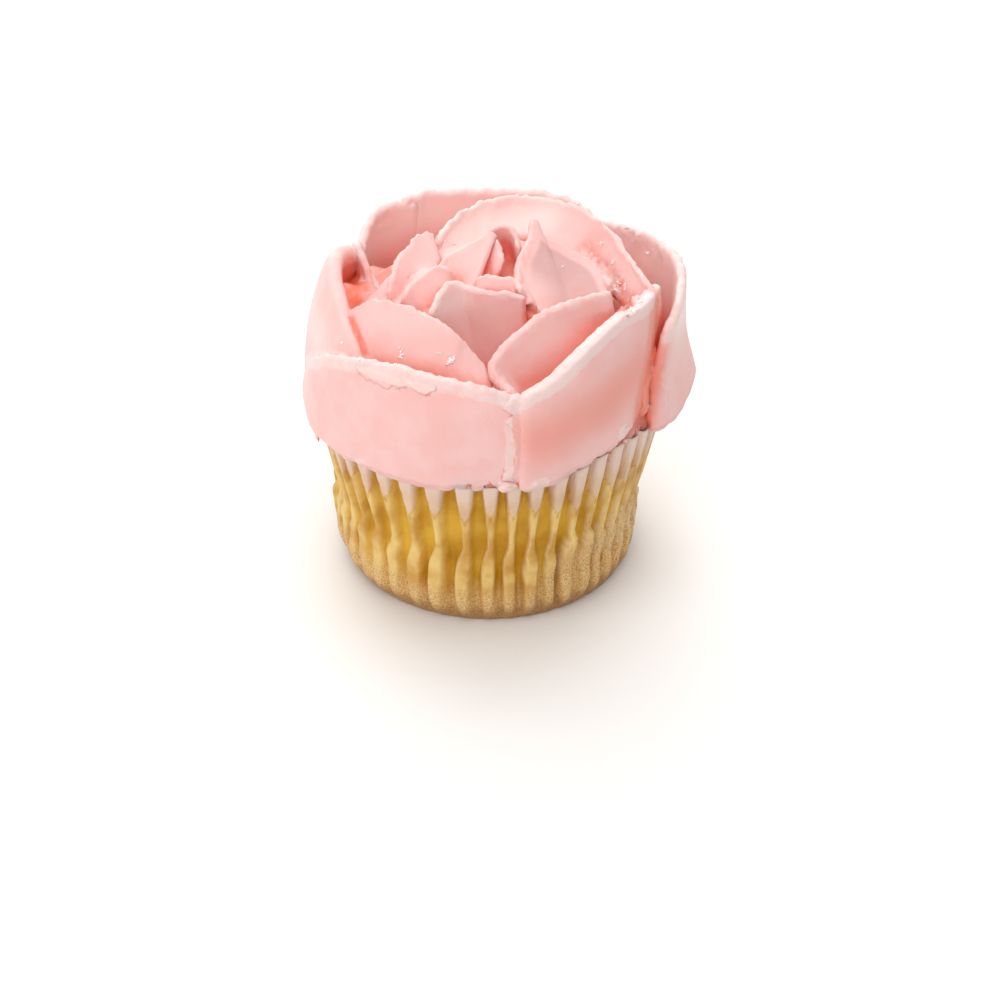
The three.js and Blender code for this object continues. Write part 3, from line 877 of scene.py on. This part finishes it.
# The wall from the bottom up: height, mean radius, pleat depth, half the ridge's width, and how softly it
# turns into the valley, both as shares of the pitch
CASE_WALL = np.array([
    (0.0, 24.2, 0.1, 0.25, 0.25),
    (0.7, 24.9, 0.15, 0.25, 0.25),
    (2.9, 25.8, 0.5, 0.28, 0.22),
    (6.5, 25.9, 1.1, 0.32, 0.14),
    (10.7, 25.8, 1.5, 0.33, 0.09),
    (14.0, 26.1, 1.6, 0.29, 0.08),
    (16.6, 26.6, 1.6, 0.17, 0.08),
    (20.2, 27.4, 1.8, 0.16, 0.1),
    (24.5, 28.2, 2.1, 0.22, 0.1),
    (28.0, 28.9, 2.3, 0.29, 0.1),
    (32.5, 29.8, 2.5, 0.36, 0.1),
])


def all_pleats():
    """The front pleats, and the others at an even pitch with a little play."""
    draw = random.Random(PLEAT_SEED)
    first, last = FRONT_PLEATS[0][0], FRONT_PLEATS[-1][0]
    gap = 360 - (last - first)
    count = round(gap / EVEN_PITCH)
    rest = []
    for i in range(1, count):
        bearing = last + gap * i / count + draw.uniform(-PLAY, PLAY)
        rest.append((bearing, *[draw.uniform(least, most) for least, most in PLEAT_RANGES]))
    return [(FRONT + pleat[0], *pleat[1:]) for pleat in FRONT_PLEATS + rest]


def case_heights(step):
    """The heights of the case's rings, closer together round its bottom edge."""
    edge = 2
    low = np.linspace(0, edge, 4, endpoint=False)
    return np.concatenate([low, np.linspace(edge, CASE_HEIGHT, int((CASE_HEIGHT - edge) / step))])


def crumpled(spot):
    """How far the paper stands out at a place: soft dents, less the creases where the last noise turns."""
    crease = abs(noise.noise(spot / CREASE_LENGTH + Vector((3, 5, 7))))
    return waves_at(spot, DENTS) - crease * CREASE_DEPTH


def case_wall(heights):
    """Points of the case's outer face as columns of heights, the ways outwards, and what each point shows:
    tongue, stain, valley and crease, the last a painted highlight along each ridge's left edge."""
    pleats = all_pleats()
    draw = random.Random(KINK_SEED)
    mean, depth, width, soft = [np.interp(heights, CASE_WALL[:, 0], column) for column in CASE_WALL.T[1:]]
    low = 1 - smoothstep(12, 19, heights)
    bearings, radii, tongues, stains, valleys, creases = [], [], [], [], [], []
    for i, (here, tip, puff_top, puff, right_valley) in enumerate(pleats):
        before = pleats[i - 1][0] - (360 if i == 0 else 0)
        after = pleats[i + 1][0] if i + 1 < len(pleats) else pleats[0][0] + 360
        left_valley = pleats[i - 1][4]
        kink = draw.uniform(-KINK, KINK)
        kink_height = draw.uniform(*KINK_HEIGHTS)
        sharp = draw.uniform(*PUFF_EDGES)
        stands_out = (puff + 0.25) * (1 - smoothstep(puff_top - sharp, puff_top + 0.3, heights))
        stands_out = stands_out * smoothstep(0.5, 5, heights)
        shift = kink * (1 - smoothstep(kink_height - 1.5, kink_height + 1.5, heights))
        shift = shift * smoothstep(0, 6, heights)
        for share in np.arange(PLEAT_COLUMNS) / PLEAT_COLUMNS - 0.5:
            pitch = (here - before) if share < 0 else (after - here)
            softness = soft * (0.7 if share < 0 else 1.3)
            ridge = 1 - smoothstep(width - softness, width + softness, np.abs(share))
            valley = left_valley if share < 0 else right_valley
            deep = 1 + (valley - 1) * low
            radii.append(mean + depth / 2 + stands_out * ridge - depth * deep * (1 - ridge))
            bearings.append(here + share * pitch + shift)
            above = np.clip(heights - tip, 0, None)
            opening = 0.17 * smoothstep(0, 2.2, above) + 0.27 * (above / (CASE_HEIGHT - tip)) ** 1.2
            inside = opening - abs(share + 0.03)
            tongues.append(smoothstep(-0.03, 0.03, inside) * smoothstep(-0.3, 0.5, heights - tip))
            stains.append(np.exp(-(inside / 0.07) ** 2) * (heights > tip - 0.8) * smoothstep(6, 1, above))
            valleys.append(1 - ridge)
            # A painted highlight along the fold at each ridge's left edge, from the middle of the wall up
            creases.append(np.exp(-((share + width - 0.02) / 0.035) ** 2) * smoothstep(7, 12, heights))
    radii = np.array(radii)
    angle = np.radians(np.array(bearings))
    from_lift = np.array(bearings)[:, -1] % 360 - RIM_LIFT_BEARING
    lift = RIM_LIFT * np.exp(-(from_lift / RIM_LIFT_SPREAD) ** 2)
    level = heights[None, :] + (heights[None, :] / CASE_HEIGHT) ** 4 * lift[:, None]
    bulge = BULGE * np.sin(math.pi * np.clip(heights / CASE_HEIGHT * 2, 0, 1))
    points = np.stack([radii * np.cos(angle) - bulge, radii * np.sin(angle), level], -1)
    crumple = np.array([[crumpled(Vector(p)) for p in column] for column in points])
    crumple *= smoothstep(0, 4, heights) * (1.1 - 0.8 * smoothstep(8, 22, heights))
    away = np.stack([np.cos(angle), np.sin(angle), np.zeros_like(angle)], -1)
    return points + away * crumple[..., None], away, {
        "tongue": np.array(tongues), "stain": np.array(stains), "valley": np.array(valleys),
        "crease": np.array(creases)}


def make_paper_case():
    """The pleated case as one thin closed sheet, with what each point shows kept for its material."""
    outer, away, marks = case_wall(case_heights(0.7))
    columns = len(outer)
    inner = outer - away * PAPER
    inner[:, 0, 2] += PAPER
    rings = np.concatenate([outer.transpose(1, 0, 2), inner.transpose(1, 0, 2)[::-1]])
    faces = tube_faces(len(rings), columns)
    points = rings.reshape(-1, 3)
    under, over = len(points), len(points) + 1
    points = np.vstack([points, [(-0.3, 0, 0), (-0.3, 0, PAPER)]])
    last = (len(rings) - 1) * columns
    faces += [(under, (i + 1) % columns, i) for i in range(columns)]
    faces += [(over, last + i, last + (i + 1) % columns) for i in range(columns)]
    case = mesh_object("paper_case_pleated", points, faces)
    closed_outward(case)
    for name, table in marks.items():
        grid = table.T
        store(case.data, name, np.concatenate([grid.ravel(), grid[::-1].ravel(), [0, 0]]))
    return case


# The room between the paper and the icing, and how much more there is outside the wall below the rim
CLEARANCE = 0.15
RIM_ROOM = 4


def case_clearance():
    """A ring that follows the pleats at the rim, with some room on both sides, to cut the icing with."""
    heights = np.concatenate([np.linspace(24, 31, 8), np.linspace(31.6, CASE_HEIGHT + 1, 6)])
    outer, away, _ = case_wall(np.minimum(heights, CASE_HEIGHT))
    outer[:, :, 2] += heights - np.minimum(heights, CASE_HEIGHT)
    room = CLEARANCE + RIM_ROOM * (1 - smoothstep(CASE_HEIGHT - 0.9, CASE_HEIGHT - 0.2, heights))
    rings = np.concatenate([(outer + away * room[None, :, None]).transpose(1, 0, 2),
                            (outer - away * (PAPER + CLEARANCE)).transpose(1, 0, 2)[::-1]])
    rings = np.concatenate([rings, rings[:1]])
    columns = len(outer)
    points = rings[:-1].reshape(-1, 3)
    count = len(points)
    faces = [tuple(corner % count for corner in face) for face in tube_faces(len(rings), columns)]
    ring = mesh_object("case_clearance", points, faces)
    closed_outward(ring)
    return ring


def greaseproof_paper():
    """Thin greaseproof paper: satin, pale where it stands clear of the cake, amber where fat soaks it, and
    toasted at the foot, with a painted highlight along each ridge's left edge."""
    material, tree, out = new_material("greaseproof_paper")
    place = node(tree, "ShaderNodeTexCoord").outputs["Object"]
    height = node(tree, "ShaderNodeSeparateXYZ", {0: place}).outputs["Z"]
    clouds = grain(tree, place, 6.0)
    ridge = blend(tree, ramp(tree, clouds, 0.35, 0.65), "#cf9a45", "#ecca7c")
    valley = blend(tree, ramp(tree, clouds, 0.35, 0.65), "#c9920f", "#dfb032")
    wall = blend(tree, shown(tree, "valley"), ridge, valley)
    side = node(tree, "ShaderNodeSeparateXYZ", {0: place}).outputs["X"]
    browned = math_node(tree, "SUBTRACT", height, ramp(tree, side, 0.006, 0.018, 0.007))
    uneven = math_node(tree, "MULTIPLY", clouds, 0.5)
    low = math_node(tree, "ADD", ramp(tree, browned, 0.013, 0.003), uneven)
    speckle = grain(tree, place, 0.28, 2.0)
    tan = blend(tree, ramp(tree, speckle, 0.3, 0.62), "#b8823e", "#ebc88e")
    wall = blend(tree, ramp(tree, low, 0.35, 1.2, 0.85), wall, tan)
    toast = blend(tree, ramp(tree, speckle, 0.3, 0.65), "#94642f", "#c4955a")
    uneven = math_node(tree, "MULTIPLY", clouds, 0.4)
    base = math_node(tree, "ADD", ramp(tree, height, 0.0065, 0.0), uneven)
    wall = blend(tree, ramp(tree, base, 0.3, 1.0), wall, toast)
    # Painted highlight along each ridge's left edge
    wall = blend(tree, ramp(tree, shown(tree, "crease"), 0.1, 1.0, 0.6), wall, "#f0dcb4")
    wall = blend(tree, ramp(tree, shown(tree, "stain"), 0.2, 1.0, 0.5), wall, "#b06f22")
    clear = blend(tree, ramp(tree, clouds, 0.3, 0.7), "#d9b18c", "#e2c3a2")
    tongue = blend(tree, ramp(tree, height, 0.026, 0.032), clear, "#e6cbbb")
    colour = blend(tree, shown(tree, "tongue"), wall, tongue)
    fibres = math_node(tree, "ADD", speckle, grain(tree, place, 1.4))
    bump = node(tree, "ShaderNodeBump", {"Height": fibres, "Strength": 0.35, "Distance": 0.2 * MM})
    sheet = node(tree, "ShaderNodeBsdfPrincipled", {
        "Base Color": colour, "Roughness": 0.42, "IOR": 1.45, "Normal": bump.outputs["Normal"],
        "Specular IOR Level": 0.35})
    tree.links.new(sheet.outputs[0], out.inputs["Surface"])
    return material


# The cake as (radius, height) from its bottom up, and how large and how deep its crumb is
SPONGE = [(AXIS, 0.9), (22.5, 0.9), (24, 3), (24, 6.5), (23.8, 10.7), (25, 20), (26.6, 29), (25.5, 31.5),
          (20, 34.2), (12, 35.6), (AXIS, 36)]
CRUMB_SIZE = 1.4 * MM
CRUMB_DEPTH = 0.25 * MM


def make_sponge():
    """The cake itself, which shows only in the small gaps under the icing."""
    sponge = turned("sponge_baked", fill_in(SPONGE, 1.0), columns=160)
    points = points_of(sponge.data)
    normals = normals_of(sponge.data)
    crumb = np.array([noise.noise(Vector(p) / CRUMB_SIZE) for p in points])
    set_points(sponge.data, points + normals * (crumb * CRUMB_DEPTH)[:, None])
    return sponge


def baked_sponge():
    """Baked sponge: an open crumb, yellow inside and browned where it met the air."""
    material, tree, out = new_material("baked_sponge")
    place = node(tree, "ShaderNodeTexCoord").outputs["Object"]
    crumb = grain(tree, place, 10 / 7, 5.0)
    colour = blend(tree, crumb, "#8a4a1c", "#d8a050")
    bump = node(tree, "ShaderNodeBump", {"Height": crumb, "Strength": 0.8, "Distance": 0.6 * MM})
    body = node(tree, "ShaderNodeBsdfPrincipled", {
        "Base Color": colour, "Roughness": 0.85, "Normal": bump.outputs["Normal"]})
    tree.links.new(body.outputs[0], out.inputs["Surface"])
    return material


FLOOR_HALF = 3000


def make_floor():
    """A plain pale floor under the cupcake."""
    corners = [(x * FLOOR_HALF, y * FLOOR_HALF, 0) for x, y in ((-1, -1), (1, -1), (1, 1), (-1, 1))]
    floor = mesh_object("floor", corners, [(0, 1, 2, 3)], smooth=False)
    material, tree, out = new_material("studio_floor")
    body = node(tree, "ShaderNodeBsdfPrincipled", {"Base Color": linear("#f8f7f5"), "Roughness": 0.6})
    tree.links.new(body.outputs[0], out.inputs["Surface"])
    floor.data.materials.append(material)


def make_camera():
    """The photograph's camera."""
    data = bpy.data.cameras.new("camera")
    data.sensor_width = SENSOR_MM
    data.lens = FOCAL_PIXELS / FRAME_PIXELS * SENSOR_MM
    data.clip_end = 10
    camera = bpy.data.objects.new("camera", data)
    camera.location = CAMERA_PLACE
    camera.rotation_euler = (math.pi / 2 - CAMERA_TILT, 0, 0)
    bpy.context.scene.collection.objects.link(camera)
    bpy.context.scene.camera = camera


ROOM_STRENGTH = 0.3
# How far the soft lights are from the place that they look at, and how high that place is, in metres
LIGHT_DISTANCE = 1.0
AIM_HEIGHT = 35 * MM
# Their names, bearings, elevations, sizes in metres and powers in watts
LIGHTS = [
    ("top", 90, 82, 0.6, 3.5),
    ("front", 268, 50, 0.7, 3.6),
    ("left", 210, 22, 0.6, 2.6),
    ("right", 0, 45, 0.5, 0.5),
    ("behind", 90, 12, 1.5, 11),
    ("behind_left", 120, 45, 0.7, 2),
]


def area_light(name, bearing, elevation, size, power):
    """A square soft white light that looks at the cupcake's middle."""
    data = bpy.data.lights.new(name, "AREA")
    data.size = size
    data.energy = power
    light = bpy.data.objects.new(name, data)
    b, e = math.radians(bearing), math.radians(elevation)
    middle = Vector((0, 0, AIM_HEIGHT))
    way = Vector((math.cos(e) * math.cos(b), math.cos(e) * math.sin(b), math.sin(e)))
    light.location = middle + way * LIGHT_DISTANCE
    light.rotation_euler = (-way).to_track_quat("-Z", "Y").to_euler()
    bpy.context.scene.collection.objects.link(light)


def make_light():
    """An even dim room, a large soft light behind the cupcake and smaller ones over and round it."""
    world = bpy.data.worlds.new("studio")
    world.use_nodes = True
    background = world.node_tree.nodes["Background"]
    background.inputs["Color"].default_value = linear("#ffffff")
    background.inputs["Strength"].default_value = ROOM_STRENGTH
    bpy.context.scene.world = world
    for light in LIGHTS:
        area_light(*light)
    view = bpy.context.scene.view_settings
    view.view_transform = "Standard"
    view.look = "None"


def add_piece(piece, material, slot, *replaced):
    piece.data.materials.clear()
    piece.data.materials.append(material)
    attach(piece, "root")
    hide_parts(*replaced)


make_camera()
icing = make_icing()
add_piece(icing, buttercream(), "buttercream", "icing_rose")
grains = sugar()
add_piece(make_crystals(icing, grains), grains, "buttercream", "icing_rose")
add_piece(make_paper_case(), greaseproof_paper(), "paper", "paper_case")
add_piece(make_sponge(), baked_sponge(), "sponge", "sponge")
make_floor()
make_light()
